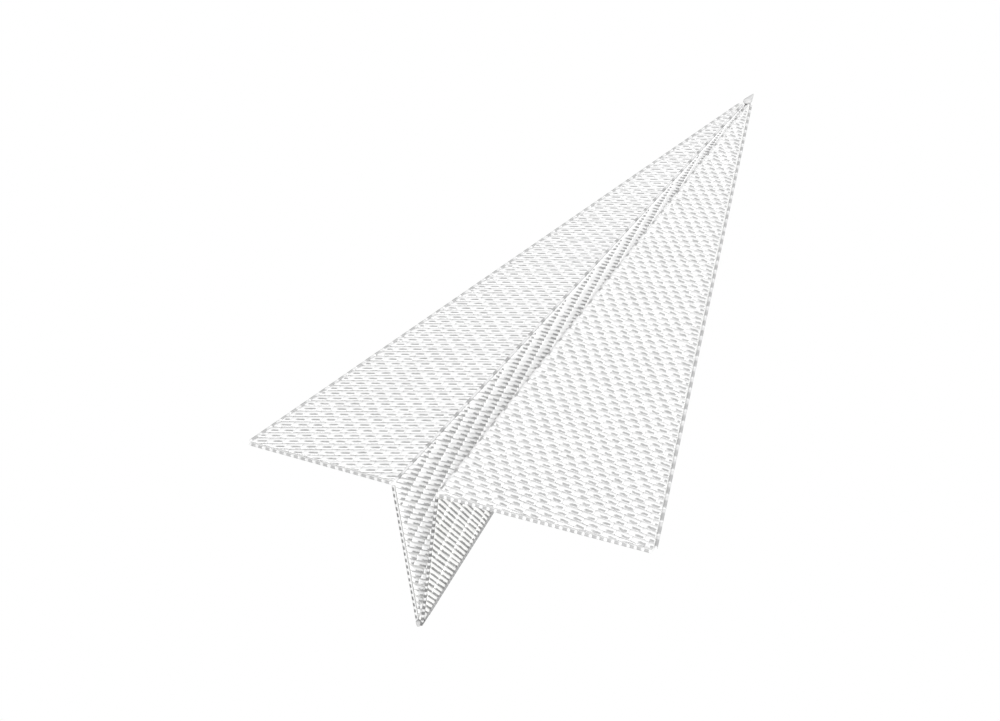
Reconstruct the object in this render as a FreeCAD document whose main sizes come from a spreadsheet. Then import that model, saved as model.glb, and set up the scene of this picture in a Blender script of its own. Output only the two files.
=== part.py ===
import FreeCAD, Part
import os
from math import cos, radians, sin

import Sketcher
from FreeCAD import Placement, Rotation, Vector

# A dart folded from one sheet of card and stitched all over.
#
# The sheet is drawn unfolded. Its nose is the origin, +X runs aft along the keel crease and +Y runs
# out over the left half. Every straight edge of a panel is a line given by its direction and by its
# distance from the nose, so each panel is drawn where it lies on the flat sheet, and its Placement
# folds it up. Depth counts from the sheet's middle, towards the side that ends up under the wings
# and outside the keel. In the folded dart +X is forward, +Y is left and +Z is up.

DIMENSIONS = [
    ("keel_length", 288.0, "nose to tail along the keel crease"),
    ("half_width", 105.0, "keel crease to the long side of the sheet"),
    ("nose_fold", 22.5, "degrees from the keel crease to the leading edge"),
    ("wing_crease", 9.13, "degrees from the keel crease to the wing crease"),
    ("keel_lean", 8.64, "degrees that each keel wall leans out from upright"),
    ("wing_fold", 91.11, "degrees that each wing is turned over at its crease"),
    ("card", 0.3, "thickness of the card"),
    ("thread", 0.5, "thickness of a field of fill stitches"),
    ("border_radius", 0.6, "radius of the cord sewn round a wing"),
    ("tail_radius", 0.5, "radius of the cord sewn along a keel wall's tail"),
    ("crease_radius", 0.5, "radius of the cord in a wing crease"),
    ("spine_radius", 0.4, "radius of the cord at the foot of a keel wall"),
    ("spine_gap", 0.75, "from the middle of the dart to each of those cords"),
    ("satin", 0.5, "height of the half-round satin line under the keel"),
    ("cap_length", 6.0, "length of the stitched cap on the nose"),
    ("cap_tip", 0.5, "radius of the cap at the nose"),
    ("cap_base", 1.3, "radius of the cap at its aft end"),
    ("clearance", 0.1, "air left between pieces that lie side by side"),
    ("under_relief", 2.35, "set-back from a wing crease for each unit of depth under it"),
    ("fill_inset", 0.5, "from the edge of a card panel to its fill stitches"),
    ("cord_start", 10.0, "from the nose to the first stitch of a crease or border cord"),
    ("cord_end", 1.6, "from a corner of the sheet to the last stitch of a cord"),
]

doc = FreeCAD.newDocument("dart")
sheet = doc.addObject("Spreadsheet::Sheet", "Dims")
for row, (alias, number, note) in enumerate(DIMENSIONS, 1):
    sheet.set(f"A{row}", str(number))
    sheet.setAlias(f"A{row}", alias)
    sheet.set(f"B{row}", note)
doc.recompute()


def value(text):
    """The number that an expression stands for."""
    return FreeCAD.Units.Quantity(sheet.evalExpression(text)).Value


# Directions of the lines on the flat sheet. The tail is cut straight from the keel crease to the
# corner where the leading edge meets the side of the sheet.
KEEL = "0 deg"
CREASE = "Dims.wing_crease * 1 deg"
LEADING = "Dims.nose_fold * 1 deg"
SWEEP = "atan((Dims.keel_length - Dims.half_width / tan(Dims.nose_fold)) / Dims.half_width)"
TAIL = f"90 deg + {SWEEP}"

# Depths in the stack of plies: two plies of the first corner fold lie between sheet and flap.
SHEET_DEPTH = "-0.5 * Dims.card"
INNER_PLY_DEPTH = "0.5 * Dims.card"
OUTER_PLY_DEPTH = "1.5 * Dims.card"
FLAP_DEPTH = "2.5 * Dims.card"
TOP_FILL_DEPTH = "-0.5 * Dims.card - Dims.thread"
REAR_FILL_DEPTH = "0.5 * Dims.card"
FLAP_FILL_DEPTH = "3.5 * Dims.card"

BORDER = "(2 * Dims.border_radius + Dims.clearance)"
FILL_BORDER = f"({BORDER} + Dims.fill_inset)"
CREASE_CLEAR = "(Dims.crease_radius + Dims.clearance)"
SPINE_CLEAR = "(Dims.spine_radius + Dims.clearance)"


def relief(bottom_depth):
    """Set-back from a wing crease of a layer on the closing side whose outer face is this deep."""
    return f"({CREASE_CLEAR} + Dims.under_relief * ({bottom_depth}))"


# An edge is a direction, the side of the nose it passes on (1 where the panel lies beyond the line
# seen from the nose, counting towards +Y, or -1) and its distance from the nose.


def above_spine():
    """Foot of a keel wall, just above its spine cord."""
    return (KEEL, 1, SPINE_CLEAR)


def below_crease(gap):
    """Top of a keel wall's layer, this far below the wing crease."""
    return (CREASE, -1, gap)


def beyond_crease(gap):
    """Inner edge of a wing's layer, this far out from the wing crease."""
    return (CREASE, 1, gap)


def tail_edge(inset):
    """The cut tail, set in by this much."""
    return (TAIL, -1, f"Dims.keel_length * cos({SWEEP}) - {inset}")


def leading_edge(inset):
    """The leading edge fold, set in by this much."""
    return (LEADING, -1, inset)


def flap_edge(inset):
    """The flap's free edge: the side of the sheet, turned over to 45 degrees."""
    return ("45 deg", -1, f"Dims.half_width - {inset}")


def inner_ply_edge():
    """The short side of the sheet in the first corner fold, square to the keel crease."""
    return ("90 deg", -1, "Dims.half_width")


def outer_ply_edge():
    """The same side of the sheet after the leading edge fold has turned it over."""
    return ("135 deg", -1, "Dims.half_width")


def keel_placement(side):
    """Folds the flat sheet's left (1) or right (-1) half up about its keel crease."""
    corner = Vector(
        0.5 * value("Dims.keel_length"),
        side * value("Dims.spine_gap"),
        value("Dims.satin + Dims.spine_radius"),
    )
    face_down = Rotation(Vector(0, 1, 0), 180)
    fold_up = Rotation(Vector(1, 0, 0), side * (90 - value("Dims.keel_lean")))
    return Placement(corner, fold_up * face_down)


def wing_placement(side):
    """Folds the wing down from its keel wall about the wing crease."""
    angle = radians(value(CREASE))
    crease = Vector(cos(angle), side * sin(angle), 0)
    fold_over = Rotation(crease, side * value("Dims.wing_fold"))
    return keel_placement(side) * Placement(Vector(), fold_over)


def flat_line(edge, side):
    """Unit normal and signed distance from the nose of an edge on one half of the sheet."""
    direction, passes, distance = edge
    angle = side * radians(value(direction))
    return -sin(angle), cos(angle), side * passes * value(distance)


def crossing(first, second):
    """The point where two lines cross."""
    ax, ay, a = first
    bx, by, b = second
    determinant = ax * by - ay * bx
    return Vector((a * by - b * ay) / determinant, (ax * b - bx * a) / determinant, 0)


def add_panel(label, side, edges, depth, thickness, placement):
    """A flat layer: its outline is sketched on the flat sheet, padded, and folded into place."""
    body = doc.addObject("PartDesign::Body", label)
    body.Label = label
    plane = next(item for item in body.Origin.OriginFeatures if item.Role == "XY_Plane")
    sketch = body.newObject("Sketcher::SketchObject", label + "_outline")
    sketch.AttachmentSupport = (plane, [""])
    sketch.MapMode = "FlatFace"
    sketch.setExpression("AttachmentOffset.Base.z", depth)

    lines = [flat_line(edge, side) for edge in edges]
    corners = [crossing(lines[i - 1], lines[i]) for i in range(len(lines))]
    for i, start in enumerate(corners):
        end = corners[(i + 1) % len(corners)]
        sketch.addGeometry(Part.LineSegment(start, end))
    for i in range(len(edges)):
        after = (i + 1) % len(edges)
        sketch.addConstraint(Sketcher.Constraint("Coincident", i, 2, after, 1))
    for i, (direction, passes, distance) in enumerate(edges):
        run = corners[(i + 1) % len(corners)] - corners[i]
        angle = side * radians(value(direction))
        ahead = run.x * cos(angle) + run.y * sin(angle) > 0
        turned = f"{side} * ({direction})" + ("" if ahead else " - 180 deg")
        held = sketch.addConstraint(Sketcher.Constraint("Angle", i, radians(value(turned))))
        sketch.setExpression(f"Constraints[{held}]", turned)
        nose = Sketcher.Constraint("Distance", -1, 1, i, value(distance))
        held = sketch.addConstraint(nose)
        sketch.setExpression(f"Constraints[{held}]", distance)

    pad = body.newObject("PartDesign::Pad", label + "_pad")
    pad.Profile = sketch
    pad.setExpression("Length", thickness)
    body.Tip = pad
    body.Placement = placement
    return body


def add_cord(label, side, start, direction, depth, radius, length, placement):
    """A round cord that starts at a point of the flat sheet and runs straight over it."""
    cord = doc.addObject("Part::Cylinder", label)
    cord.Label = label
    cord.setExpression("Radius", radius)
    cord.setExpression("Height", length)
    angle = side * radians(value(direction))
    along = Rotation(Vector(0, 0, 1), Vector(cos(angle), sin(angle), 0))
    foot = Vector(start.x, side * start.y, value(depth))
    cord.Placement = placement * Placement(foot, along)
    return cord


def polar(direction, distance, offset="0"):
    """A point of the flat sheet: so far along a direction from the nose, then across it."""
    angle = radians(value(direction))
    along, across = value(distance), value(offset)
    return Vector(
        along * cos(angle) - across * sin(angle),
        along * sin(angle) + across * cos(angle),
        0,
    )


def tail_point(distance, inset):
    """A point on the cut tail, so far out from the keel crease and set in from the cut."""
    start = Vector(value("Dims.keel_length"), 0, 0)
    angle = radians(value(TAIL))
    along, across = value(distance), value(inset)
    return start + Vector(
        along * cos(angle) - across * sin(angle),
        along * sin(angle) + across * cos(angle),
        0,
    )


# Distances along the cut tail and along the creases, from the sheet's own triangles.
TAIL_LENGTH = f"Dims.half_width / cos({SWEEP})"
TAIL_AT_CREASE = f"Dims.keel_length * sin({CREASE}) / cos({SWEEP} - {CREASE})"
CREASE_LENGTH = f"Dims.keel_length * cos({SWEEP}) / cos({SWEEP} - {CREASE})"
LEADING_LENGTH = "Dims.half_width / sin(Dims.nose_fold)"


def add_keel_wall(name, side):
    """One keel wall: four plies of card, three fields of stitches and two cords."""
    place = keel_placement(side)
    foot = above_spine()
    inner_ply = relief("1.5 * Dims.card")
    outer_ply = relief("2.5 * Dims.card")
    flap = relief("3.5 * Dims.card")
    flap_fill = relief("3.5 * Dims.card + Dims.thread")
    rear_fill = relief("0.5 * Dims.card + Dims.thread")
    half_fill = "0.5 * Dims.fill_inset"
    layers = [
        ("sheet", [foot, tail_edge(BORDER), below_crease(CREASE_CLEAR)],
         SHEET_DEPTH, "Dims.card"),
        ("inner_corner_ply", [foot, inner_ply_edge(), below_crease(inner_ply)],
         INNER_PLY_DEPTH, "Dims.card"),
        ("outer_corner_ply", [foot, outer_ply_edge(), below_crease(outer_ply)],
         OUTER_PLY_DEPTH, "Dims.card"),
        ("flap", [foot, flap_edge("0"), below_crease(flap)],
         FLAP_DEPTH, "Dims.card"),
        ("inner_fill", [foot, tail_edge(FILL_BORDER), below_crease(CREASE_CLEAR)],
         TOP_FILL_DEPTH, "Dims.thread"),
        ("flap_fill", [foot, flap_edge(half_fill), below_crease(flap_fill)],
         FLAP_FILL_DEPTH, "Dims.thread"),
        ("outer_fill",
         [foot, tail_edge(FILL_BORDER), below_crease(rear_fill), flap_edge(f"-({half_fill})")],
         REAR_FILL_DEPTH, "Dims.thread"),
    ]
    for layer, edges, depth, thickness in layers:
        add_panel(f"{name}_keel_{layer}", side, edges, depth, thickness, place)
    add_cord(
        f"{name}_wing_crease_cord", side, polar(CREASE, "Dims.cord_start"), CREASE, "0",
        "Dims.crease_radius", f"{CREASE_LENGTH} - Dims.cord_start - Dims.cord_end", place,
    )
    add_cord(
        f"{name}_keel_tail_cord", side, tail_point("Dims.cord_end", "Dims.tail_radius"), TAIL, "0",
        "Dims.tail_radius", f"{TAIL_AT_CREASE} - 2 * Dims.cord_end", place,
    )


def add_wing(name, side):
    """One wing: four plies of card, three fields of stitches and two border cords."""
    place = wing_placement(side)
    inner_ply = relief("1.5 * Dims.card")
    outer_ply = relief("2.5 * Dims.card")
    flap = relief("3.5 * Dims.card")
    flap_fill = relief("3.5 * Dims.card + Dims.thread")
    rear_fill = relief("0.5 * Dims.card + Dims.thread")
    half_fill = "0.5 * Dims.fill_inset"
    layers = [
        ("sheet", [beyond_crease(CREASE_CLEAR), tail_edge(BORDER), leading_edge(BORDER)],
         SHEET_DEPTH, "Dims.card"),
        ("inner_corner_ply", [beyond_crease(inner_ply), inner_ply_edge(), leading_edge(BORDER)],
         INNER_PLY_DEPTH, "Dims.card"),
        ("outer_corner_ply", [beyond_crease(outer_ply), outer_ply_edge(), leading_edge(BORDER)],
         OUTER_PLY_DEPTH, "Dims.card"),
        ("flap", [beyond_crease(flap), flap_edge(BORDER), leading_edge(BORDER)],
         FLAP_DEPTH, "Dims.card"),
        ("top_fill",
         [beyond_crease(CREASE_CLEAR), tail_edge(FILL_BORDER), leading_edge(FILL_BORDER)],
         TOP_FILL_DEPTH, "Dims.thread"),
        ("flap_fill",
         [beyond_crease(flap_fill), flap_edge(FILL_BORDER), leading_edge(FILL_BORDER)],
         FLAP_FILL_DEPTH, "Dims.thread"),
        ("under_fill",
         [beyond_crease(rear_fill), tail_edge(FILL_BORDER), leading_edge(FILL_BORDER),
          flap_edge(f"-({half_fill})")],
         REAR_FILL_DEPTH, "Dims.thread"),
    ]
    for layer, edges, depth, thickness in layers:
        add_panel(f"{name}_wing_{layer}", side, edges, depth, thickness, place)
    start = polar(LEADING, "Dims.cord_start", "-Dims.border_radius")
    add_cord(
        f"{name}_leading_edge_cord", side, start, LEADING, "1.5 * Dims.card",
        "Dims.border_radius", f"{LEADING_LENGTH} - Dims.cord_start - Dims.cord_end", place,
    )
    start = tail_point(f"{TAIL_AT_CREASE} + Dims.cord_end", "Dims.border_radius")
    add_cord(
        f"{name}_wing_tail_cord", side, start, TAIL, "0",
        "Dims.border_radius", f"{TAIL_LENGTH} - {TAIL_AT_CREASE} - 2 * Dims.cord_end", place,
    )


def add_satin_line(length):
    """The satin stitches under the keel: a low arch on its back, with the two cords lying on it."""
    body = doc.addObject("PartDesign::Body", "keel_satin_line")
    body.Label = "keel_satin_line"
    plane = next(item for item in body.Origin.OriginFeatures if item.Role == "YZ_Plane")
    sketch = body.newObject("Sketcher::SketchObject", "keel_satin_line_section")
    sketch.AttachmentSupport = (plane, [""])
    sketch.MapMode = "FlatFace"

    width = "2 * (Dims.spine_gap + Dims.spine_radius)"
    radius = f"(({width}) ^ 2 / 4 + Dims.satin ^ 2) / (2 * Dims.satin)"
    half, rise = 0.5 * value(width), value("Dims.satin")
    sketch.addGeometry(Part.Arc(Vector(-half, rise, 0), Vector(0, 0, 0), Vector(half, rise, 0)))
    sketch.addGeometry(Part.LineSegment(Vector(half, rise, 0), Vector(-half, rise, 0)))
    sketch.addConstraint(Sketcher.Constraint("Coincident", 0, 1, 1, 2))
    sketch.addConstraint(Sketcher.Constraint("Coincident", 0, 2, 1, 1))
    sketch.addConstraint(Sketcher.Constraint("Symmetric", 1, 1, 1, 2, -2))
    for text, constraint in (
        (width, Sketcher.Constraint("Distance", 1, 2 * half)),
        ("Dims.satin", Sketcher.Constraint("Distance", -1, 1, 1, rise)),
        (radius, Sketcher.Constraint("Radius", 0, value(radius))),
    ):
        held = sketch.addConstraint(constraint)
        sketch.setExpression(f"Constraints[{held}]", text)

    pad = body.newObject("PartDesign::Pad", "keel_satin_line_pad")
    pad.Profile = sketch
    pad.setExpression("Length", length)
    body.Tip = pad
    body.Placement = Placement(Vector(-0.5 * value("Dims.keel_length"), 0, 0), Rotation())


def add_spine():
    """The keel crease's own stitching: two cords, the satin line under them and the nose cap."""
    length = "Dims.keel_length - Dims.cap_length - Dims.clearance"
    for name, side in (("left", 1), ("right", -1)):
        cord = doc.addObject("Part::Cylinder", f"{name}_spine_cord")
        cord.Label = f"{name}_spine_cord"
        cord.setExpression("Radius", "Dims.spine_radius")
        cord.setExpression("Height", length)
        tail = Vector(
            -0.5 * value("Dims.keel_length"),
            side * value("Dims.spine_gap"),
            value("Dims.satin + Dims.spine_radius"),
        )
        cord.Placement = Placement(tail, Rotation(Vector(0, 1, 0), 90))

    add_satin_line(length)

    # The cap's axis climbs aft, so that its wide end still stands on the ground plane.
    cap = doc.addObject("Part::Cone", "nose_cap")
    cap.Label = "nose_cap"
    cap.setExpression("Radius1", "Dims.cap_tip")
    cap.setExpression("Radius2", "Dims.cap_base")
    cap.setExpression("Height", "Dims.cap_length")
    slope = Vector(-value("Dims.cap_length"), 0, value("Dims.cap_base - Dims.cap_tip"))
    tip = Vector(0.5 * value("Dims.keel_length"), 0, value("Dims.satin + Dims.cap_tip"))
    cap.Placement = Placement(tip, Rotation(Vector(0, 0, 1), slope))


add_spine()
for name, side in (("left", 1), ("right", -1)):
    add_keel_wall(name, side)
    add_wing(name, side)
doc.recompute()

for item in doc.Objects:
    if "Invalid" in item.State or "Error" in item.State:
        raise RuntimeError(f"{item.Name} failed: {item.State}")

os.makedirs("parts", exist_ok=True)
PIECE_TYPES = ("PartDesign::Body", "Part::Cylinder", "Part::Cone")
pieces = [item for item in doc.Objects if item.TypeId in PIECE_TYPES]
for piece in pieces:
    if piece.Shape.isNull() or not piece.Shape.isValid():
        raise RuntimeError(f"{piece.Label} has no valid shape")
    piece.Shape.exportStep(f"parts/{piece.Label}.step")
print(len(pieces), "pieces written")
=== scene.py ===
"""Looks of a folded card dart whose panels are covered in rows of thread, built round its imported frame.

Every length below is in millimetres unless its name says otherwise; meshes are written in metres.
"""

import logging
from dataclasses import dataclass
from enum import Enum
from typing import Any

import bpy
import numpy as np
from mathutils import Matrix, Vector


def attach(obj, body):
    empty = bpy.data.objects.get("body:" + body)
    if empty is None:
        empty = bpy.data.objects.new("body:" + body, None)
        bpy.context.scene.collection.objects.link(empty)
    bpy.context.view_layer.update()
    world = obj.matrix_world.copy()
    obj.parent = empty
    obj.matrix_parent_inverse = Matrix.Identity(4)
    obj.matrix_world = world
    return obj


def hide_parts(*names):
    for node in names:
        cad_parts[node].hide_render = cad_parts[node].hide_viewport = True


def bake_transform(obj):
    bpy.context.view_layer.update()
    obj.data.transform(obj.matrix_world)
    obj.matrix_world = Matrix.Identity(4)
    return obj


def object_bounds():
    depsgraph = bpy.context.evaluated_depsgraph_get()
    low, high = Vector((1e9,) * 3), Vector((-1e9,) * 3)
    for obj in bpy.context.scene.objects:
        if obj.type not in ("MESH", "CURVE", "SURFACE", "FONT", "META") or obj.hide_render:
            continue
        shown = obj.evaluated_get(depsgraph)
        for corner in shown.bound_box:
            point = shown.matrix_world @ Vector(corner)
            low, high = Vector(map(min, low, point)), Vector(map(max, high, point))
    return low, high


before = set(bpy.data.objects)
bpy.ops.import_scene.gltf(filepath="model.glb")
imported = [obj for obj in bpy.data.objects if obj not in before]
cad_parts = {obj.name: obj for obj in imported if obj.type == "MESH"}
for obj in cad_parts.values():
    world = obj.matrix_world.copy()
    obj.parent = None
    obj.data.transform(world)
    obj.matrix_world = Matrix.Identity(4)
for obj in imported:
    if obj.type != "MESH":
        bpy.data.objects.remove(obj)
CAD_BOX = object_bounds()

MM = 0.001
REACH = 0.45  # how far the rows run past their frame fill, to meet the cords round it
MITRE = 4.0  # the longest corner of that growth, as a multiple of it
log = logging.getLogger("dart")


class Side(Enum):
    """Which half of the dart a piece belongs to; the value is the sign of its Y."""

    LEFT = 1
    RIGHT = -1

    @property
    def word(self) -> str:
        """The side's name as the frame's nodes and bodies spell it."""
        return self.name.lower()


# ---------------------------------------------------------------- meshes


def points_of(node: str) -> np.ndarray:
    """The vertices of a frame node.

    Args:
        node: the node's name.

    Returns:
        An array (count, 3) in millimetres.
    """
    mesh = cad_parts[node].data
    flat = np.zeros(len(mesh.vertices) * 3, np.float32)
    mesh.vertices.foreach_get("co", flat)
    return flat.reshape(-1, 3).astype(float) / MM


def unit(vector: np.ndarray) -> np.ndarray:
    """The vector at length one."""
    return vector / np.linalg.norm(vector)


def unit_rows(vectors: np.ndarray) -> np.ndarray:
    """Each row of an array at length one."""
    return vectors / np.linalg.norm(vectors, axis=-1, keepdims=True)


def way_to(node: str, cord: str) -> np.ndarray:
    """The direction from a cord's middle to a frame node's middle."""
    return unit(points_of(node).mean(0) - np.mean(axis_of(cord), axis=0))


def axis_of(node: str) -> tuple[np.ndarray, np.ndarray]:
    """The two ends of a long straight frame node, nose end first.

    The points' longest principal direction is the axis, and the ends are where the points' reach stops.

    Args:
        node: the name of a cord or another long node.

    Returns:
        The front and the rear end of its centre line.
    """
    points = points_of(node)
    centre = (points.min(0) + points.max(0)) / 2
    direction = np.linalg.svd(points - points.mean(0), full_matrices=False)[2][0]
    direction *= -np.sign(direction[0])
    reach = (points - centre) @ direction
    return centre + reach.min() * direction, centre + reach.max() * direction


def lofted(rings: np.ndarray) -> tuple[np.ndarray, np.ndarray, np.ndarray]:
    """Skins stacks of closed rings, each stack into a closed solid.

    A quad joins point j of ring i to point j + 1 and to ring i + 1, and a flat face closes each end.

    Args:
        rings: an array (solids, rings, points round, 3).

    Returns:
        The vertices, the quads' corners and the end faces' corners, all facing outwards.
    """
    count, along, around = rings.shape[:3]
    middle = rings[:, along // 2 - 1]
    face = np.cross(np.roll(middle, -1, axis=1) - middle, rings[:, along // 2] - middle)
    if np.sum(face * (middle - middle.mean(1, keepdims=True))) < 0:
        rings = rings[:, ::-1]
    index = np.arange(count * along * around).reshape(count, along, around)
    turned = np.roll(index, -1, axis=2)
    quads = np.stack([index[:, :-1], turned[:, :-1], turned[:, 1:], index[:, 1:]], -1).reshape(-1, 4)
    ends = np.concatenate([index[:, 0, ::-1], index[:, -1]]).reshape(-1, around)
    return rings.reshape(-1, 3), quads, ends


def mesh_piece(name: str, rings: np.ndarray, stitch: np.ndarray, tone: np.ndarray) -> bpy.types.Object:
    """Makes one object of lofted solids, with the maps that its finish reads.

    Args:
        name: the piece's name.
        rings: an array (solids, rings, points round, 3) in millimetres.
        stitch: an array (solids, rings, points round, 2), the place along and across each solid from 0 to 1.
        tone: an array (solids, 2), each solid's own random number and its length in millimetres.

    Returns:
        The new object, linked to the scene.
    """
    vertices, quads, ends = lofted(rings)
    if not np.array_equal(vertices[0], rings[0, 0, 0]):
        stitch = stitch[:, ::-1]
    per_solid = rings.shape[1] * rings.shape[2]
    corners = np.concatenate([quads.ravel(), ends.ravel()])
    sizes = np.concatenate([np.full(len(quads), 4), np.full(len(ends), ends.shape[1])])
    starts = np.concatenate([[0], np.cumsum(sizes)[:-1]])
    mesh = bpy.data.meshes.new(name)
    mesh.vertices.add(len(vertices))
    mesh.vertices.foreach_set("co", (vertices * MM).astype(np.float32).ravel())
    mesh.loops.add(len(corners))
    mesh.loops.foreach_set("vertex_index", corners.astype(np.int32))
    mesh.polygons.add(len(sizes))
    mesh.polygons.foreach_set("loop_start", starts.astype(np.int32))
    mesh.update(calc_edges=True)
    smooth = np.concatenate([np.ones(len(quads), bool), np.zeros(len(ends), bool)])
    mesh.polygons.foreach_set("use_smooth", smooth)
    places = stitch.reshape(-1, 2)[corners]
    mesh.uv_layers.new(name="stitch").uv.foreach_set("vector", places.astype(np.float32).ravel())
    for attribute, values in (("tone", tone[:, 0]), ("length", tone[:, 1])):
        made = mesh.attributes.new(attribute, "FLOAT", "POINT")
        made.data.foreach_set("value", np.repeat(values, per_solid).astype(np.float32))
    mesh.validate()
    piece = bpy.data.objects.new(name, mesh)
    bpy.context.scene.collection.objects.link(piece)
    return piece


@dataclass(frozen=True)
class Thread:
    """How one stitch of thread swells and dips between its two needle holes.

    The width and the height are each a share of the thread's full size at the places `at` along the stitch.
    """

    around: int = 8
    at: tuple[float, ...] = (0.0, 0.07, 0.3, 0.72, 0.93, 1.0)
    wide: tuple[float, ...] = (0.94, 0.99, 1.0, 1.0, 0.98, 0.92)
    high: tuple[float, ...] = (0.5, 0.88, 1.0, 0.98, 0.84, 0.42)
    pressed: float = 0.08

    def laid(self, start: np.ndarray, end: np.ndarray, across: np.ndarray, up: np.ndarray,
             width: float, height: float, flat: bool = True) -> tuple[np.ndarray, np.ndarray]:
        """Rings of stitches that run straight from start to end.

        A ring's points are centre + across * cos(a) * half width + up * sin(a) * height. Where the stitch
        lies flat on a panel, the lower half of that ellipse keeps only the share `pressed` of its depth.

        Args:
            start: an array (stitches, 3) of first ends.
            end: an array (stitches, 3) of second ends.
            across: the direction of the thread's width, one or one per stitch.
            up: the direction away from the panel, one or one per stitch.
            width: the thread's full width.
            height: the thread's full height above the panel, or its half height where it isn't flat.
            flat: whether the underside is pressed level.

        Returns:
            The rings (stitches, rings, points, 3) and the places (stitches, rings, points, 2).
        """
        count = len(start)
        along = np.array(self.at)
        angle = np.arange(self.around) * 2 * np.pi / self.around
        side = np.cos(angle)[None, :] * np.array(self.wide)[:, None] * width / 2
        rise = np.sin(angle)
        rise = np.where(rise < 0, self.pressed * rise, rise) if flat else rise
        lift = rise[None, :] * np.array(self.high)[:, None] * height
        centre = start[:, None] + (end - start)[:, None] * along[None, :, None]
        across = np.broadcast_to(across, (count, 3))[:, None, None]
        up = np.broadcast_to(up, (count, 3))[:, None, None]
        rings = centre[:, :, None] + side[None, :, :, None] * across + lift[None, :, :, None] * up
        places = np.stack(np.broadcast_arrays(along[:, None], (1 - np.cos(angle))[None, :] / 2), -1)
        return rings, np.broadcast_to(places, (count, *places.shape))


# ---------------------------------------------------------------- finishes


def linear(colour: str) -> tuple[float, float, float, float]:
    """Turns an sRGB hex colour to the linear RGBA that shaders take.

    Args:
        colour: six hex digits.

    Returns:
        Red, green, blue and an alpha of one.
    """
    parts = np.array([int(colour[i:i + 2], 16) for i in (0, 2, 4)]) / 255
    parts = np.where(parts <= 0.04045, parts / 12.92, ((parts + 0.055) / 1.055) ** 2.4)
    return (*parts.tolist(), 1.0)


def add(tree: bpy.types.NodeTree, kind: str, settings: dict[Any, Any] | None = None,
        links: dict[Any, bpy.types.NodeSocket] | None = None) -> bpy.types.Node:
    """Adds one node with its settings and its links.

    Args:
        tree: the tree that gets the node.
        kind: the node's type without its leading "ShaderNode".
        settings: values by input name or number, or by the node's own property.
        links: sockets to join, by input name or number.

    Returns:
        The new node.
    """
    made = tree.nodes.new("ShaderNode" + kind)
    for name, value in (settings or {}).items():
        if isinstance(name, int) or name in made.inputs:
            made.inputs[name].default_value = value
        else:
            setattr(made, name, value)
    for name, socket in (links or {}).items():
        tree.links.new(socket, made.inputs[name])
    return made


def new_material(name: str) -> tuple[bpy.types.Material, bpy.types.NodeTree]:
    """A material with an empty node tree."""
    material = bpy.data.materials.new(name)
    material.use_nodes = True
    material.node_tree.nodes.clear()
    return material, material.node_tree


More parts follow.
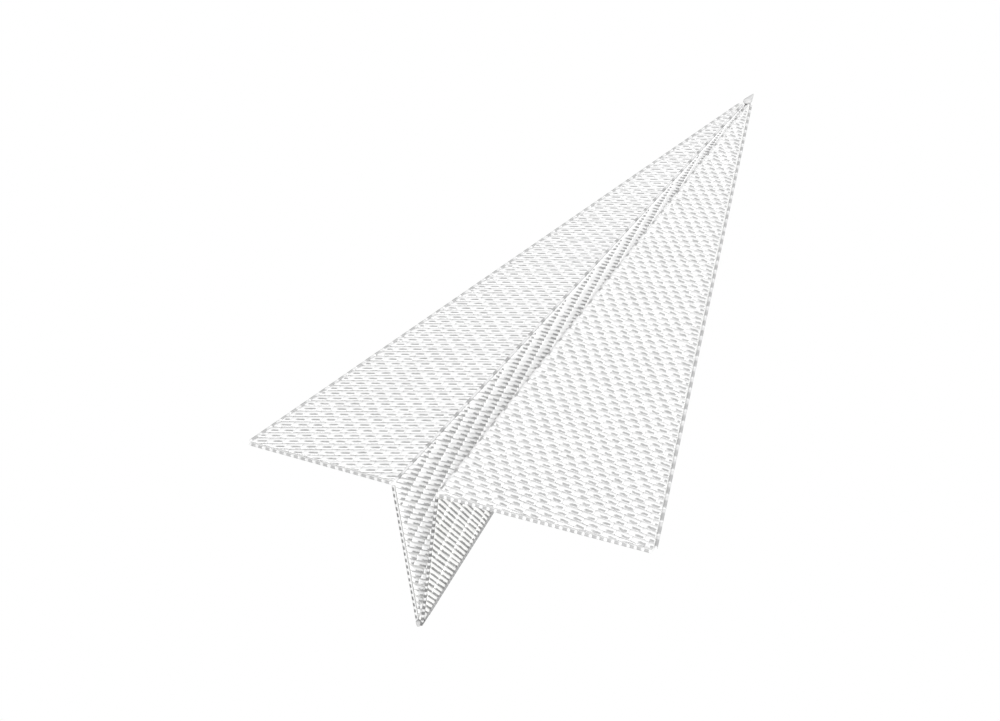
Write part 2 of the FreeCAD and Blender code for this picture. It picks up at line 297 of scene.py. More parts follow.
@dataclass(frozen=True)
class ThreadFinish:
    """Matt spun polyester thread: a soft broad highlight, fibres twisted round it, painted shade where it
    dips.

    Real fuzz and twist are a few tenths of a millimetre across. Here the fuzz is 1.1 and the twist `twist`
    millimetres across, as coarse as they need to be to show.
    """

    name: str
    body: str
    # The colour of the painted shade, which the next fields lay on each stitch where it dips and in the
    # groove between rows.
    shade: str
    dash: tuple[float, float] = (0.42, 0.98)
    band: tuple[float, float] = (0.42, 0.92)
    rise: float = 0.25
    depth: float = 0.8
    groove_shade: float = 0.5
    line: float = 0.9
    ragged: float = 0.3
    roughness: float = 0.62
    twist: float = 1.1
    width: float = 2.8
    spread: float = 0.06
    cut: float = 0.04
    fades: tuple[float, float, float] = (0.14, 0.1, 0.1)
    fuzz_per_metre: float = 900.0
    mottle: tuple[float, float] = (0.5, 0.72)
    fibre: float = 0.35
    bump: float = 0.35
    bump_height: float = 0.06

    def build(self) -> bpy.types.Material:
        """Makes the material.

        Painted shade darkens the stitch by `depth` between the two places of the painted shade mark along it,
        coming up over `rise` and ending within `cut`, and inside the `band` across it. This stands for the
        shade where the stitch dips to its needle holes and on its side away from the light. Past `line`
        across it, a painted shadow of the groove between rows darkens it by the groove shade all along. The
        `fades` soften the band's two sides and the line. Stray fibres make both edges uneven by `ragged`, and
        twisted fibres `twist` millimetres apart make a slanting bump.

        Returns:
            The new material.
        """
        material, tree = new_material(self.name)
        parts = add(tree, "SeparateXYZ", links={0: add(tree, "UVMap", {"uv_map": "stitch"}).outputs[0]})
        along, across = parts.outputs[0], parts.outputs[1]
        tone = add(tree, "Attribute", {"attribute_name": "tone"}).outputs["Fac"]
        length = add(tree, "Attribute", {"attribute_name": "length"}).outputs["Fac"]
        first, last = self.dash
        low, high = self.band
        grain = add(tree, "TexNoise", {"Scale": self.fuzz_per_metre, "Detail": 3.0},
                    {"Vector": add(tree, "TexCoord").outputs["Object"]})
        stray = add(tree, "Math", {"operation": "MULTIPLY_ADD", 1: self.ragged, 2: -self.ragged / 2},
                    {0: grain.outputs[0]}).outputs[0]
        level = add(tree, "Math", {"operation": "ADD"}, {0: across, 1: stray}).outputs[0]
        place = add(tree, "Math", {"operation": "ADD"}, {0: along, 1: stray}).outputs[0]
        ramps = (
            (place, first, first + self.rise),
            (place, last + self.cut, last - self.cut),
            (level, low, low + self.fades[0]),
            (level, high, high - self.fades[1]),
            (level, self.line, self.line + self.fades[2]),
        )
        smooth = {"interpolation_type": "SMOOTHSTEP"}
        # Painted shade: the mark on each stitch, then the painted shadow in the groove between rows.
        dash, *others, far = (add(tree, "MapRange", {**smooth, 1: start, 2: end}, {0: value}).outputs[0]
                              for value, start, end in ramps)
        for other in others:
            dash = add(tree, "Math", {"operation": "MULTIPLY"}, {0: dash, 1: other}).outputs[0]
        dash = add(tree, "Math", {"operation": "MULTIPLY", 1: self.depth}, {0: dash}).outputs[0]
        edge = add(tree, "Math", {"operation": "MULTIPLY", 1: self.groove_shade}, {0: far}).outputs[0]
        # grey is the painted shade, the stronger of the mark and the groove shadow; it mixes the body towards
        # the shade colour.
        grey = add(tree, "Math", {"operation": "MAXIMUM"}, {0: dash, 1: edge}).outputs[0]
        gain, floor = self.mottle
        mottled = add(tree, "Math", {"operation": "MULTIPLY_ADD", 1: gain, 2: floor}, {0: grain.outputs[0]})
        grey = add(tree, "Math", {"operation": "MULTIPLY"}, {0: grey, 1: mottled.outputs[0]}).outputs[0]
        colour = add(tree, "Mix", {"data_type": "RGBA", 6: linear(self.body), 7: linear(self.shade)},
                     {0: grey}).outputs[2]
        worn = add(tree, "Math", {"operation": "MULTIPLY_ADD", 1: -self.spread, 2: 1.0}, {0: tone})
        toned = add(tree, "VectorMath", {"operation": "SCALE"}, {0: colour, "Scale": worn.outputs[0]})
        run = add(tree, "Math", {"operation": "MULTIPLY"}, {0: along, 1: length}).outputs[0]
        slant = add(tree, "Math", {"operation": "MULTIPLY_ADD", 1: self.width * 0.5}, {0: across, 2: run})
        turns = add(tree, "Math", {"operation": "MULTIPLY", 1: 2 * np.pi / self.twist}, {0: slant.outputs[0]})
        wave = add(tree, "Math", {"operation": "SINE"}, {0: turns.outputs[0]}).outputs[0]
        fibres = add(tree, "Math", {"operation": "MULTIPLY_ADD", 1: self.fibre},
                     {0: wave, 2: grain.outputs[0]})
        bump = add(tree, "Bump", {"Strength": self.bump, "Distance": self.bump_height * MM},
                   {"Height": fibres.outputs[0]})
        shader = add(tree, "BsdfPrincipled",
                     {"Roughness": self.roughness, "Specular IOR Level": 0.3, "Sheen Weight": 0.08},
                     {"Base Color": toned.outputs[0], "Normal": bump.outputs[0]})
        add(tree, "OutputMaterial", links={0: shader.outputs[0]})
        return material


@dataclass(frozen=True)
class CardFinish:
    """Uncoated white card: matt, with the faint cloudy formation and fine tooth of pressed fibres."""

    name: str = "uncoated_white_card"
    body: str = "E9E9E8"
    cloud: str = "DCDCDA"
    cloud_size: float = 4.0
    fibre_size: float = 0.35
    tooth: float = 0.04
    roughness: float = 0.82

    def build(self) -> bpy.types.Material:
        """Makes the material: soft clouds of tone, and a fine fibre bump.

        Returns:
            The new material.
        """
        material, tree = new_material(self.name)
        spot = add(tree, "TexCoord").outputs["Object"]
        clouds = add(tree, "TexNoise", {"Scale": 1000 / self.cloud_size, "Detail": 4.0}, {"Vector": spot})
        fibres = add(tree, "TexNoise", {"Scale": 1000 / self.fibre_size, "Detail": 6.0}, {"Vector": spot})
        colour = add(tree, "Mix", {"data_type": "RGBA", 6: linear(self.body), 7: linear(self.cloud)},
                     {0: clouds.outputs[0]})
        bump = add(tree, "Bump", {"Strength": 0.3, "Distance": self.tooth * MM},
                   {"Height": fibres.outputs[0]})
        shader = add(tree, "BsdfPrincipled", {"Roughness": self.roughness, "Specular IOR Level": 0.25},
                     {"Base Color": colour.outputs[2], "Normal": bump.outputs[0]})
        add(tree, "OutputMaterial", links={0: shader.outputs[0]})
        return material


# ---------------------------------------------------------------- stitched surfaces


@dataclass(frozen=True)
class PanelPlane:
    """A panel's flat side: its origin on the wing crease, its axes, and the outline that the thread fills."""

    origin: np.ndarray
    along: np.ndarray
    outward: np.ndarray
    up: np.ndarray
    outline: np.ndarray

    @classmethod
    def of(cls, side: Side, panel: str, fill: str) -> "PanelPlane":
        """Reads the plane from the frame.

        The along axis is the wing crease from the nose to the tail, and the outward axis lies in the panel,
        away from that crease. The fill's corners in those axes, sorted by their angle, are its convex
        outline, and each is then pushed out along its mitre so that every edge moves out by REACH.

        Args:
            side: which half of the dart.
            panel: the panel's word, wing or keel.
            fill: the fill's word.

        Returns:
            The plane, with its origin on the card's surface under the fill.
        """
        sheet = points_of(f"{side.word}_{panel}_sheet")
        points = points_of(f"{side.word}_{panel}_{fill}")
        front, rear = axis_of(f"{side.word}_wing_crease_cord")
        along = unit(rear - front)
        normal = np.linalg.svd(sheet - sheet.mean(0), full_matrices=False)[2][2]
        up = normal * np.sign((points.mean(0) - sheet.mean(0)) @ normal)
        along = unit(along - (along @ up) * up)
        outward = np.cross(up, along)
        outward *= np.sign((points.mean(0) - front) @ outward)
        base = ((points - front) @ up).min()
        flat = np.stack([(points - front) @ along, (points - front) @ outward], -1)
        corners = np.unique(np.round(flat, 3), axis=0)
        spoke = corners - corners.mean(0)
        order = np.argsort(np.arctan2(spoke[:, 1], spoke[:, 0]))
        plane = cls(front + base * up, along, outward, up, corners[order])
        after, _ = plane.edges()
        before = np.roll(after, 1, axis=0)
        push = (before + after) / (1 + np.sum(before * after, 1))[:, None]
        push *= np.minimum(1, MITRE / np.linalg.norm(push, axis=1))[:, None]
        return cls(plane.origin, along, outward, up, plane.outline - REACH * push)

    def edges(self) -> tuple[np.ndarray, np.ndarray]:
        """The outline as half planes: each edge's inward direction and its distance from the origin."""
        edge = np.roll(self.outline, -1, axis=0) - self.outline
        inward = np.stack([-edge[:, 1], edge[:, 0]], -1) / np.linalg.norm(edge, axis=1)[:, None]
        return inward, np.sum(inward * self.outline, 1)

    def corners(self) -> np.ndarray:
        """The outline's corners as points of the dart, on the card's surface."""
        return self.placed(np.pad(self.outline, ((0, 0), (0, 1))))

    def edge_by(self, cord: str) -> tuple[np.ndarray, np.ndarray]:
        """The two corners, as points of the dart, of the outline's edge that lies nearest to a cord.

        Args:
            cord: the cord's frame node.

        Returns:
            The edge's front and rear corner, on the card's surface.
        """
        first = self.corners()
        second = np.roll(first, -1, axis=0)
        front, rear = axis_of(cord)
        away = np.linalg.norm(np.cross((first + second) / 2 - front, unit(rear - front)), axis=1)
        ends = first[away.argmin()], second[away.argmin()]
        return ends if ends[0][0] > ends[1][0] else ends[::-1]

    def trimmed(self, points: np.ndarray) -> np.ndarray:
        """Points in panel axes (..., 3), those past an edge of the outline moved square on to that edge."""
        for _ in range(2):
            for inward, limit in zip(*self.edges()):
                past = np.minimum(points[..., :2] @ inward - limit, 0.0)
                points = points - past[..., None] * np.append(inward, 0.0)
        return points

    def placed(self, points: np.ndarray) -> np.ndarray:
        """Points in panel axes (..., 3) as points of the dart."""
        return self.origin + points @ np.stack([self.along, self.outward, self.up])


@dataclass(frozen=True)
class StitchRows:
    """A fill of thread: nearly parallel rows of equal stitches, each row shifted from the last."""

    finish: str
    slot: str
    angle: float
    pitch: float
    length: float
    shift: float = 0.25
    fan: float = 0.0
    cover: float = 1.04
    height: float = 0.46
    shade_side: int = 1
    jitter: float = 0.12
    spaced_at: float = 0.7
    shoulder: float = 0.4

    def lines(self, plane: PanelPlane) -> tuple[np.ndarray, np.ndarray, np.ndarray]:
        """The flat ends of every stitch.

        Row i crosses the middle line of the outline at i spacings along the crease, at `angle` to the crease
        and turned by `fan` degrees for each millimetre further aft. The spacing makes the rows one pitch
        apart `spaced_at` of the way aft. A row is cut where its side, `shoulder` of a pitch from its middle,
        leaves the outline. It is divided at every `length`, shifted by `shift` of it from row to row, and a
        stitch under a third of that length is joined to the one beside it.

        Args:
            plane: the panel's side that is filled.

        Returns:
            The first and the second ends and the direction across, each (count, 2).
        """
        low, high = plane.outline.min(0), plane.outline.max(0)
        spacing = self.pitch / abs(np.sin(np.radians(self.angle + self.fan * self.spaced_at * high[0])))
        margin = high[1] / abs(np.tan(np.radians(self.angle))) + self.pitch
        rows = np.arange(np.floor((low[0] - margin) / spacing), np.ceil((high[0] + margin) / spacing))
        base = np.stack([rows * spacing, np.full(len(rows), (low[1] + high[1]) / 2)], -1)
        turn = np.radians(self.angle + self.fan * base[:, 0])
        run = np.stack([np.cos(turn), np.sin(turn)], -1)
        step = np.stack([-np.sin(turn), np.cos(turn)], -1) * self.shade_side
        inward, limit = plane.edges()
        side = self.shoulder * self.pitch * np.abs(inward @ step.T)
        reach = limit[:, None] - side - inward @ base.T
        slope = inward @ run.T
        slope = np.where(np.abs(slope) < 1e-9, 1e-9, slope)
        cut = reach / slope
        low = np.where(slope > 0, cut, -np.inf).max(0)
        high = np.where(slope < 0, cut, np.inf).min(0)
        spare = self.length / 3
        order = rows * np.sign(step[0, 0])
        long = high - low > spare
        order, base, run, step, low, high = (row[long] for row in (order, base, run, step, low, high))
        number = np.arange(np.floor(low.min() / self.length) - 1, np.ceil(high.max() / self.length) + 1)
        first = (number[None] + (order[:, None] * self.shift) % 1) * self.length
        last = first + self.length
        low, high = low[:, None], high[:, None]
        kept = (last - low >= spare) & (high - first >= spare)
        begin = np.where(first < low + spare, low, first)
        end = np.where(last > high - spare, high, last)
        kept &= end - begin > 0.2 * self.length
        base, run = base[:, None], run[:, None]
        step = np.broadcast_to(step[:, None], (*kept.shape, 2))
        return (base + begin[..., None] * run)[kept], (base + end[..., None] * run)[kept], step[kept]

    def build(self, name: str, plane: PanelPlane, seed: int) -> bpy.types.Object:
        """Makes the fill as one piece.

        Args:
            name: the piece's name.
            plane: the panel's side that is filled.
            seed: the start of this fill's random numbers.

        Returns:
            The new object.
        """
        start, end, step = (np.pad(flat, ((0, 0), (0, 1))) for flat in self.lines(plane))
        rng = np.random.default_rng(seed)
        sway = rng.normal(0, self.jitter, (len(start), 1))
        rings, places = Thread().laid(start + sway * step * 0.3, end + sway * step, -step,
                                      np.array([0.0, 0.0, 1.0]), self.pitch * self.cover, self.height)
        tone = np.stack([rng.random(len(start)), np.linalg.norm(end - start, axis=1)], -1)
        return mesh_piece(name, plane.placed(plane.trimmed(rings)), places, tone)


def tones(start: np.ndarray, end: np.ndarray, seed: int) -> np.ndarray:
    """Each stitch's own random number and its length, as an array (stitches, 2)."""
    return np.stack([np.random.default_rng(seed).random(len(start)), np.linalg.norm(end - start, axis=1)], -1)


@dataclass(frozen=True)
class RunOfStitches:
    """A cord of short stitches, end to end, along an edge or a crease."""

    finish: str
    slot: str
    length: float = 3.0
    radius: float = 0.5
    lap: float = 0.06
    border_inset: float = 1.2
    border_lift: float = 0.12
    border_height: float = 0.4

    def divided(self, front: np.ndarray, rear: np.ndarray) -> tuple[np.ndarray, np.ndarray]:
        """The ends of equal stitches from front to rear, each lapping a little over the next."""
        count = max(1, round(np.linalg.norm(rear - front) / self.length))
        start = front + (np.arange(count) / count)[:, None] * (rear - front)
        end = start + (rear - front) / count * (1 + self.lap)
        end[-1] = rear
        return start, end

    def build(self, name: str, front: np.ndarray, rear: np.ndarray, seed: int,
              longer: tuple[float, float] = (0.0, 0.0)) -> bpy.types.Object:
        """Makes the run as one piece between two points, its first side towards the dart's outside.

        Args:
            name: the piece's name.
            front: the nose end of the run's centre line.
            rear: its tail end.
            seed: the start of its random numbers.
            longer: how far the run goes on past its front end and its rear end.

        Returns:
            The new object.
        """
        along = unit(rear - front)
        start, end = self.divided(front - longer[0] * along, rear + longer[1] * along)
        up = unit(np.array([0.0, 0.0, 1.0]) - along[2] * along)
        across = np.cross(along, up)
        across *= np.sign(across @ ((front + rear) / 2 - np.array(CAD_BOX).mean(0) / MM))
        rings, places = Thread().laid(start, end, across, up, 2 * self.radius, self.radius, flat=False)
        return mesh_piece(name, rings, places, tones(start, end, seed))

    def border(self, name: str, plane: PanelPlane, seed: int) -> bpy.types.Object:
        """Makes the run round a fill's outline, just inside it, as one piece.

        Args:
            name: the piece's name.
            plane: the panel's side that the outline is on.
            seed: the start of its random numbers.

        Returns:
            The new object.
        """
        centre = plane.outline.mean(0)
        inward, _ = plane.edges()
        mitre = unit_rows(np.roll(inward, 1, axis=0) + inward)
        corners = plane.outline + mitre * self.radius * self.border_inset
        corners = np.pad(corners, ((0, 0), (0, 1)), constant_values=self.border_lift)
        spans = [self.divided(a, b) for a, b in zip(corners, np.roll(corners, -1, axis=0))
                 if np.linalg.norm(b - a) > self.length]
        start, end = (np.concatenate(ends) for ends in zip(*spans))
        across = np.cross(unit_rows(end - start), [0.0, 0.0, 1.0])
        across *= np.sign(np.sum(across[:, :2] * (centre - start[:, :2]), 1))[:, None]
        rings, places = Thread().laid(start, end, across, np.array([0.0, 0.0, 1.0]), 2 * self.radius,
                                      self.border_height)
        return mesh_piece(name, plane.placed(plane.trimmed(rings)), places, tones(start, end, seed))


@dataclass(frozen=True)
class Winding:
    """Thread wound closely round a cone, as a bound tip."""

    finish: str
    slot: str
    turns: int = 24
    per_turn: int = 16
    around: int = 6
    lap: float = 0.9
    swollen: float = 0.3

    def build(self, name: str, base: np.ndarray, tip: np.ndarray, wide: float, narrow: float,
              flat: float = 1.0) -> bpy.types.Object:
        """Makes the winding as one piece.

        The thread's centre runs round the axis by a full circle in each turn while it moves evenly from the
        base to the tip. Its radius swells from nothing over the first share, `swollen`, of the way while it
        also shrinks evenly from wide to narrow. The thread's section is a circle of radius `lap` times the
        step between turns, so that it laps the next turn.

        Args:
            name: the piece's name.
            base: the middle of the wide end.
            tip: the middle of the narrow end.
            wide: the radius at the base.
            narrow: the radius at the tip.
            flat: the height of the cone as a share of its width.

        Returns:
            The new object.
        """
        share = np.linspace(0, 1, self.turns * self.per_turn + 1)
        axis = unit(tip - base)
        side = unit(np.cross([0.0, 0.0, 1.0], axis))
        up = np.cross(axis, side)
        turn = share * self.turns * 2 * np.pi
        spoke = np.cos(turn)[:, None] * side + flat * np.sin(turn)[:, None] * up
        thick = self.lap * np.linalg.norm(tip - base) / self.turns
        swell = np.sin(np.pi / 2 * np.minimum(share / self.swollen, 1))
        radius = (wide + (narrow - wide) * share) * swell - thick * np.minimum(1, swell)
        centre = base + share[:, None] * (tip - base) + radius[:, None] * spoke
        angle = np.arange(self.around) * 2 * np.pi / self.around
        rings = centre[:, None] + thick * (np.cos(angle)[None, :, None] * axis
                                           + np.sin(angle)[None, :, None] * spoke[:, None])
        places = np.stack(np.broadcast_arrays((share * self.turns)[:, None] % 1,
                                              (1 - np.cos(angle))[None] / 2), -1)
        tone = np.array([[0.3, 2 * np.pi * wide]])
        return mesh_piece(name, rings[None], places[None], tone)


@dataclass(frozen=True)
class SatinLine:
    """Short stitches side by side over a half-round core, with no gap between them."""

    finish: str
    slot: str
    pitch: float = 0.5
    thickness: float = 0.13
    stations: int = 6
    around: int = 6
    lap: float = 0.54
    stitch: float = 1.6

    def build(self, name: str, node: str, seed: int) -> bpy.types.Object:
        """Makes the line as one piece where its frame node lies.

        Each stitch's centre follows half an ellipse from one side of the node, under it, to the other side.

        Args:
            name: the piece's name.
            node: the half-round frame node, level side up.
            seed: the start of its random numbers.

        Returns:
            The new object.
        """
        low, high = points_of(node).min(0), points_of(node).max(0)
        count = round((high[0] - low[0]) / self.pitch)
        place = low[0] + (np.arange(count) + 0.5) * self.pitch
        turn = np.linspace(0, np.pi, self.stations)
        half = (high[1] - low[1]) / 2 - self.thickness
        deep = high[2] - low[2] - self.thickness
        spoke = np.stack([np.zeros_like(turn), np.cos(turn), -np.sin(turn)], -1)
        path = spoke * np.array([0.0, half, deep]) + np.array([0.0, (low[1] + high[1]) / 2, high[2]])
        angle = np.arange(self.around) * 2 * np.pi / self.around
        section = (np.cos(angle)[None, :, None] * np.array([self.pitch * self.lap, 0, 0])
                   + self.thickness * np.sin(angle)[None, :, None] * spoke[:, None])
        rings = (path[:, None] + section)[None] + place[:, None, None, None] * np.array([1.0, 0, 0])
        places = np.stack(np.broadcast_arrays((turn / np.pi)[:, None], (1 - np.cos(angle))[None] / 2), -1)
        tone = np.stack([np.random.default_rng(seed).random(count), np.full(count, self.stitch)], -1)
        return mesh_piece(name, rings, np.broadcast_to(places, (count, *places.shape)), tone)


@dataclass(frozen=True)
class CreaseWeb:
    """The card's own fold: a thin curved web round a crease cord, from one panel's edge to the next one's."""

    inner: float = 0.56
    outer: float = 0.82
    steps: int = 9
    stations: int = 25
    trims: tuple[float, float] = (3.0, 0.9)

    def build(self, name: str, cord: str, bodies: tuple[str, str],
              ways: tuple[np.ndarray, np.ndarray]) -> bpy.types.Object:
        """Makes the web between its two bodies.

        Its section is the part of a ring between two directions from the crease, and it is carried along the
        crease from the nose to the tail.

        Args:
            name: the piece's name.
            cord: the frame node that lies in the crease.
            bodies: the bodies at its two edges.
            ways: the directions from the crease to its two edges.

        Returns:
            The new object, dressed.
        """
        front, rear = axis_of(cord)
        along = unit(rear - front)
        front, rear = front + self.trims[0] * along, rear - self.trims[1] * along
        first = unit(ways[0] - (ways[0] @ along) * along)
        last = unit(ways[1] - (ways[1] @ along) * along)
        opening = np.arccos(np.clip(first @ last, -1, 1))
        turn = np.linspace(0, 1, self.steps)[:, None]
        spoke = (np.sin((1 - turn) * opening) * first + np.sin(turn * opening) * last) / np.sin(opening)
        section = np.concatenate([spoke * self.inner, spoke[::-1] * self.outer])
        share = np.linspace(0, 1, self.stations)[:, None, None]
        rings = (front + share * (rear - front)) + section[None]
        places = np.stack(np.broadcast_arrays(share[..., 0], np.linspace(0, 1, len(section))[None]), -1)
        piece = mesh_piece(name, rings[None], places[None], np.array([[0.5, np.linalg.norm(rear - front)]]))
        piece.data.materials.append(bpy.data.materials["uncoated_white_card"])
        middle = (front + rear) / 2
        ends = (tuple((middle + way * self.outer) * MM) for way in (first, last))
        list(ends)
        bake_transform(piece)
        log.info("%s: %d faces between %s and %s", name, len(piece.data.polygons), *bodies)
        return piece


# ---------------------------------------------------------------- sub-assemblies


def dress(piece: bpy.types.Object, body: str, finish: str, slot: str, *nodes: str) -> None:
    """Gives a piece its finish and its body, and hides the frame nodes that it stands for.

    Args:
        piece: the new object.
        body: the frame body that it rides on.
        finish: the name of its material.
        slot: the record's material slot; not used.
        nodes: the frame nodes that it replaces.
    """
    piece.data.materials.append(bpy.data.materials[finish])
    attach(piece, body)
    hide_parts(*nodes)
    log.info("%s: %d faces on %s", piece.name, len(piece.data.polygons), body)


@dataclass(frozen=True)
class Wing:
    """One wing: the rows of thread on both of its sides, and the cords round its edges."""

    side: Side
    rows: StitchRows
    leading: RunOfStitches
    tail: RunOfStitches
    border: RunOfStitches
    leading_longer: tuple[float, float] = (1.0, 0.0)
    tail_longer: tuple[float, float] = (0.0, 0.8)
    rise: float = 0.55

    def build(self) -> None:
        """Builds and dresses every piece of the wing."""
        word = self.side.word
        body = f"{word}_wing"
        rows = self.rows
        for number, fill in enumerate(("top_fill", "flap_fill", "under_fill")):
            plane = PanelPlane.of(self.side, "wing", fill)
            piece = rows.build(f"{body}_{fill}_rows", plane, seed=10 + number + self.side.value)
            dress(piece, body, rows.finish, rows.slot, f"{body}_{fill}")
            if fill != "top_fill":
                piece = self.border.border(f"{body}_{fill}_border", plane, seed=15 + number)
                dress(piece, body, self.border.finish, rows.slot)
        for node, run, longer, lift in (
                (f"{word}_leading_edge_cord", self.leading, self.leading_longer, self.rise),
                (f"{body}_tail_cord", self.tail, self.tail_longer, 0.0)):
            ends = (end + np.array([0.0, 0.0, lift]) for end in axis_of(node))
            piece = run.build(node.replace("_cord", "_run"), *ends, seed=20, longer=longer)
            dress(piece, body, run.finish, run.slot, node)


@dataclass(frozen=True)
class Keel:
    """One keel wall: the rows of thread inside and outside, its tail cord and its wing crease cord."""

    side: Side
    inner: StitchRows
    outer: StitchRows
    tail: RunOfStitches
    crease: RunOfStitches
    border: RunOfStitches
    hem: RunOfStitches
    crease_longer: tuple[float, float] = (0.0, 0.4)
    tail_longer: tuple[float, float] = (1.0, 0.8)
    hem_lift: float = 0.3
    hem_inset: float = 0.7
    heel_gap: float = 2.2

    def build(self) -> None:
        """Builds and dresses every piece of the keel wall."""
        word = self.side.word
        body = f"{word}_keel"
        for number, (fill, rows) in enumerate(
                (("inner_fill", self.inner), ("flap_fill", self.outer), ("outer_fill", self.outer))):
            plane = PanelPlane.of(self.side, "keel", fill)
            piece = rows.build(f"{body}_{fill}_rows", plane, seed=30 + number + self.side.value)
            dress(piece, body, rows.finish, rows.slot, f"{body}_{fill}")
            if fill == "flap_fill":
                piece = self.border.border(f"{body}_{fill}_border", plane, seed=35 + number)
                dress(piece, body, self.border.finish, rows.slot)
            if fill != "inner_fill":
                longer = (0.0, -self.heel_gap if fill == "outer_fill" else 0.0)
                piece = self.hem.build(f"{body}_{fill}_hem", *self.hem_ends(plane), seed=45 + number,
                                       longer=longer)
                dress(piece, body, self.hem.finish, self.hem.slot)
        for node, run, longer in ((f"{word}_wing_crease_cord", self.crease, self.crease_longer),
                                  (f"{body}_tail_cord", self.tail, self.tail_longer)):
            piece = run.build(node.replace("_cord", "_run"), *axis_of(node), seed=40, longer=longer)
            dress(piece, body, run.finish, run.slot, node)
        crease = f"{word}_wing_crease_cord"
        CreaseWeb().build(f"{word}_wing_crease_web", crease, (body, f"{word}_wing"),
                          (way_to(f"{body}_sheet", crease), way_to(f"{word}_wing_sheet", crease)))
        spine = f"{word}_spine_cord"
        CreaseWeb(inner=0.44, outer=0.66).build(
            f"{word}_keel_crease_web", spine, ("keel_spine", body),
            (np.array([0.0, -self.side.value, 0.0]), way_to(f"{body}_sheet", spine)))

    def hem_ends(self, plane: PanelPlane) -> list[np.ndarray]:
        """The front and rear end of the hem line, set in from the fill's spine edge.

        At `hem_inset` from that edge and `hem_lift` above the card, the line stays clear of the satin line
        under the spine, both at rest and with the keel open.

        Args:
            plane: the keel wall's side that the fill is on.

        Returns:
            The two ends.
        """
        front, rear = plane.edge_by(f"{self.side.word}_spine_cord")
        inward = unit(np.cross(plane.up, rear - front))
        inward *= np.sign(inward @ (plane.corners().mean(0) - front))
        return [corner + plane.up * self.hem_lift + inward * self.hem_inset for corner in (front, rear)]


@dataclass(frozen=True)
class Spine:
    """The bottom fold: two cords, the raised satin line under them, and the two bound tips."""

    cord: RunOfStitches
    satin: SatinLine
    nose: Winding
    heel: Winding
    cord_longer: tuple[float, float] = (0.0, -2.0)
    nose_length: float = 8.6
    nose_radii: tuple[float, float] = (2.4, 0.3)
    nose_flat: float = 0.62
    heel_top: tuple[float, float, float] = (0.1, 0.0, 1.6)
    heel_tip: tuple[float, float, float] = (-0.5, 0.0, -0.4)
    heel_radii: tuple[float, float] = (0.85, 0.5)

    def build(self) -> None:
        """Builds and dresses every piece of the spine."""
        body = "keel_spine"
        for side in Side:
            node = f"{side.word}_spine_cord"
            piece = self.cord.build(node.replace("_cord", "_run"), *axis_of(node), seed=50,
                                    longer=self.cord_longer)
            dress(piece, body, self.cord.finish, self.cord.slot, node)
        piece = self.satin.build("keel_satin_stitches", "keel_satin_line", seed=60)
        dress(piece, body, self.satin.finish, self.satin.slot, "keel_satin_line")
        tip, base = axis_of("nose_cap")
        base = tip + unit(base - tip) * self.nose_length
        piece = self.nose.build("nose_binding", base, tip, *self.nose_radii, self.nose_flat)
        dress(piece, body, self.nose.finish, self.nose.slot, "nose_cap")
        rear = (axis_of("left_spine_cord")[1] + axis_of("right_spine_cord")[1]) / 2
        start, end = (rear + np.array(offset) for offset in (self.heel_top, self.heel_tip))
        piece = self.heel.build("heel_binding", start, end, *self.heel_radii)
        dress(piece, body, self.heel.finish, self.heel.slot)


# ---------------------------------------------------------------- studio


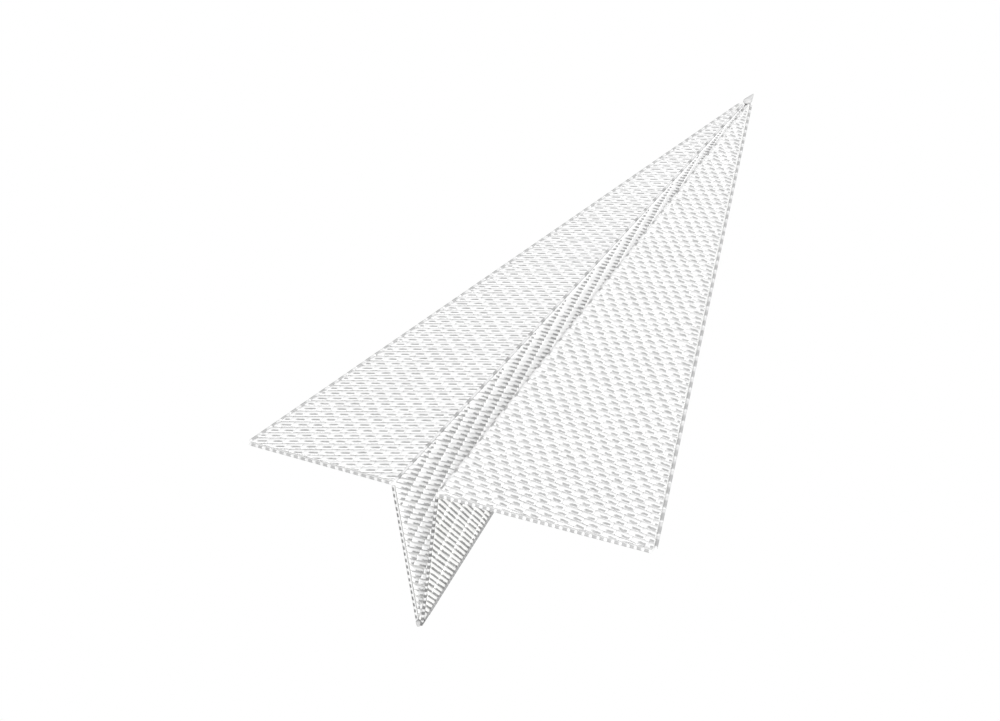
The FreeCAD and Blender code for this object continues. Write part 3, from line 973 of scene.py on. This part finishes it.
@dataclass(frozen=True)
class Studio:
    """The white table, the soft light and the camera.

    Angles are in degrees. The table's half width and the camera's clip distances are in metres.
    """

    azimuth: float = -55.20
    elevation: float = 41.30
    roll: float = -12.12
    distance: float = 602.0
    lens: float = 56.69
    aim: tuple[float, float, float] = (0.0, 51.4, -55.9)
    floor_drop: float = 260.0
    table_half: float = 40.0
    key: float = 3.1
    key_angle: float = 6.0
    key_from: tuple[float, float, float] = (-0.59, -0.40, 0.70)
    sky: float = 0.65
    sensor: float = 36.0
    clip: tuple[float, float] = (0.01, 100.0)

    def build(self) -> None:
        """Makes the camera, the world, the floor and the key light."""
        scene = bpy.context.scene
        scene.view_settings.view_transform = "Standard"
        low, high = CAD_BOX
        target = (low + high) / 2 + Vector(self.aim) * MM
        azimuth, elevation, roll = np.radians([self.azimuth, self.elevation, self.roll])
        back = np.array([np.sin(azimuth) * np.cos(elevation), -np.cos(azimuth) * np.cos(elevation),
                         np.sin(elevation)])
        level = unit(np.cross([0.0, 0.0, 1.0], back))
        upright = np.cross(back, level)
        right = np.cos(roll) * level + np.sin(roll) * upright
        top = np.cos(roll) * upright - np.sin(roll) * level
        camera = bpy.data.objects.new("camera", bpy.data.cameras.new("camera"))
        camera.data.lens = self.lens
        camera.data.sensor_width = self.sensor
        camera.data.clip_start, camera.data.clip_end = self.clip
        turned = Matrix((right, top, back)).transposed().to_4x4()
        camera.matrix_world = Matrix.Translation(target + Vector(back) * self.distance * MM) @ turned
        scene.collection.objects.link(camera)
        scene.camera = camera
        world = bpy.data.worlds.new("white_studio")
        world.use_nodes = True
        # Pure white where the camera looks straight at it, and softer as a light.
        seen = add(world.node_tree, "LightPath").outputs["Is Camera Ray"]
        power = add(world.node_tree, "Math", {"operation": "MULTIPLY_ADD", 1: 1 - self.sky, 2: self.sky},
                    {0: seen})
        background = world.node_tree.nodes["Background"]
        background.inputs[0].default_value = (1.0, 1.0, 1.0, 1.0)
        world.node_tree.links.new(power.outputs[0], background.inputs[1])
        scene.world = world
        light = bpy.data.lights.new("key", "SUN")
        light.energy = self.key
        light.angle = np.radians(self.key_angle)
        key = bpy.data.objects.new("key", light)
        key.rotation_mode = "QUATERNION"
        key.rotation_quaternion = Vector(self.key_from).to_track_quat("Z", "Y")
        scene.collection.objects.link(key)
        self.floor()

    def floor(self) -> None:
        """Makes the lit white table, a plain square far below the dart, clear when seen from underneath."""
        half = self.table_half
        mesh = bpy.data.meshes.new("table")
        mesh.from_pydata([(-half, -half, 0), (half, -half, 0), (half, half, 0), (-half, half, 0)], [],
                         [(0, 1, 2, 3)])
        mesh.transform(Matrix.Translation((0, 0, -self.floor_drop * MM)))
        material, tree = new_material("lit_white_table")
        glow = add(tree, "Emission", {"Color": (1.0, 1.0, 1.0, 1.0), "Strength": 1.0})
        clear = add(tree, "BsdfTransparent")
        below = add(tree, "NewGeometry").outputs["Backfacing"]
        seen = add(tree, "MixShader", links={0: below, 1: glow.outputs[0], 2: clear.outputs[0]})
        add(tree, "OutputMaterial", links={0: seen.outputs[0]})
        mesh.materials.append(material)
        table = bpy.data.objects.new("table", mesh)
        bpy.context.scene.collection.objects.link(table)


def dress_card() -> None:
    """Gives every card node of the frame the card finish, and the nodes still shown their thread."""
    card = CardFinish().build()
    for name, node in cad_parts.items():
        finish = card if name.endswith(("sheet", "ply", "flap")) else bpy.data.materials["dark_satin_thread"]
        node.data.materials.clear()
        node.data.materials.append(finish)


def thread_finishes() -> tuple[ThreadFinish, ...]:
    """The finish of each kind of thread on the dart."""
    whole = (-0.4, 1.4)
    return (
        # Near white, with a crisp dash of painted shade low on each stitch and painted shadow between the
        # rows, so the left wing reads as fine brickwork.
        ThreadFinish("white_wing_thread", "EFEFEF", "848484", dash=(0.28, 0.96), band=(0.52, 0.88),
                     groove_shade=0.8, line=0.89, ragged=0.12, width=3.0),
        # A looser thread with broader, softer dashes of painted shade, on the right wing.
        ThreadFinish("soft_white_wing_thread", "ECECEC", "868686", dash=(0.28, 0.92), band=(0.54, 0.97),
                     groove_shade=0.5, width=2.4),
        # White stitches with long painted shadows, for the steep inner keel; their body, whiter than the
        # wings' thread, is painted light that offsets the shade inside the fold.
        ThreadFinish("pale_strip_thread", "FAFAFA", "848484", dash=(0.3, 0.98), band=(0.5, 0.95), width=1.5),
        # White ribs with mid grey painted shade between them, which makes the outer keel the darkest field.
        ThreadFinish("pale_grey_keel_thread", "F6F6F4", "808080", dash=(0.0, 0.97), band=(0.6, 1.4),
                     depth=1.0, groove_shade=0.65, line=0.8, width=1.5),
        # Light and dark by turns, the dark being painted shade on each stitch, so the keel's tail edges look
        # like a dotted line.
        ThreadFinish("grey_edge_thread", "D4D4D4", "606060", dash=(0.0, 0.66), band=(-0.4, 0.7), depth=0.9,
                     width=1.0),
        # A pale cord with a spot of painted shade on each stitch, along the wing creases.
        ThreadFinish("pale_crease_thread", "DADADA", "8C8C8C", dash=(0.35, 0.75), band=whole, groove_shade=0.3,
                     width=1.0),
        # Short dashes of painted shade on the wings' tail edges.
        ThreadFinish("spotted_edge_thread", "DCDCDC", "929292", dash=(0.22, 0.92), band=(-0.4, 0.5),
                     groove_shade=0.3, width=1.0),
        # A soft grey rope with spots of painted shade, on the leading edges.
        ThreadFinish("leading_edge_thread", "DCDCDC", "989898", dash=(0.2, 0.84), band=whole, depth=0.75,
                     groove_shade=0.3, width=1.0),
        # Barely darker than the fill that it borders, by a faint painted shade.
        ThreadFinish("pale_border_thread", "F2F2F2", "989898", dash=(0.4, 0.98), band=whole, depth=0.2,
                     groove_shade=0.2, width=0.8),
        # Even pale grey with faint painted shade on each turn, the patch on the nose.
        ThreadFinish("pale_binding_thread", "C8C8C8", "ACACAC", band=whole, width=0.6),
        # A little darker, with painted shade on each turn, the bound tip at the heel.
        ThreadFinish("grey_binding_thread", "B4B4B4", "848484", band=whole, width=0.6),
        # The darkest line of all, along the foot of the keel, with painted shade on each stitch.
        ThreadFinish("dark_satin_thread", "A0A0A0", "848484", band=whole, width=0.8),
    )


def main() -> None:
    """Builds the studio and the dart."""
    logging.basicConfig(level=logging.INFO, format="%(message)s")
    Studio().build()
    for finish in thread_finishes():
        finish.build()
    dress_card()
    dots = {Side.LEFT: RunOfStitches("spotted_edge_thread", "grey_thread", length=3.2, radius=0.6),
            Side.RIGHT: RunOfStitches("spotted_edge_thread", "grey_thread", length=2.1, radius=0.6)}
    leading = {Side.LEFT: RunOfStitches("leading_edge_thread", "grey_thread", length=4.2, radius=0.62),
               Side.RIGHT: RunOfStitches("leading_edge_thread", "grey_thread", length=5.6, radius=0.52)}
    dashes = RunOfStitches("grey_edge_thread", "grey_thread", length=2.1)
    crease = RunOfStitches("pale_crease_thread", "grey_thread", length=8.0)
    border = RunOfStitches("pale_border_thread", "white_thread", length=2.4, radius=0.42)
    hem = RunOfStitches("dark_satin_thread", "dark_grey_thread", length=1.4, radius=0.5)
    wing_rows = {
        Side.LEFT: StitchRows("white_wing_thread", "white_thread", angle=-87.0, fan=-0.048, pitch=3.0,
                              length=5.6, shift=0.5),
        Side.RIGHT: StitchRows("soft_white_wing_thread", "white_thread", angle=81.6, fan=0.0375, pitch=2.3,
                               length=4.85, shift=0.36, shade_side=-1),
    }
    strip = StitchRows("pale_strip_thread", "pale_grey_thread", angle=152.0, fan=-0.063, pitch=1.5,
                       length=6.8, shift=0.12, shade_side=-1, height=0.26)
    outer = StitchRows("pale_grey_keel_thread", "pale_grey_thread", angle=127, pitch=1.48, length=11.0,
                       shift=0.07, shade_side=-1, height=0.26)
    for side in Side:
        Wing(side, wing_rows[side], leading[side], dots[side], border).build()
        Keel(side, strip, outer, dashes, crease, border, hem).build()
    Spine(RunOfStitches("dark_satin_thread", "dark_grey_thread", radius=0.4),
          SatinLine("dark_satin_thread", "dark_grey_thread"),
          Winding("pale_binding_thread", "grey_thread"),
          Winding("grey_binding_thread", "grey_thread")).build()


if __name__ == "__main__":
    main()
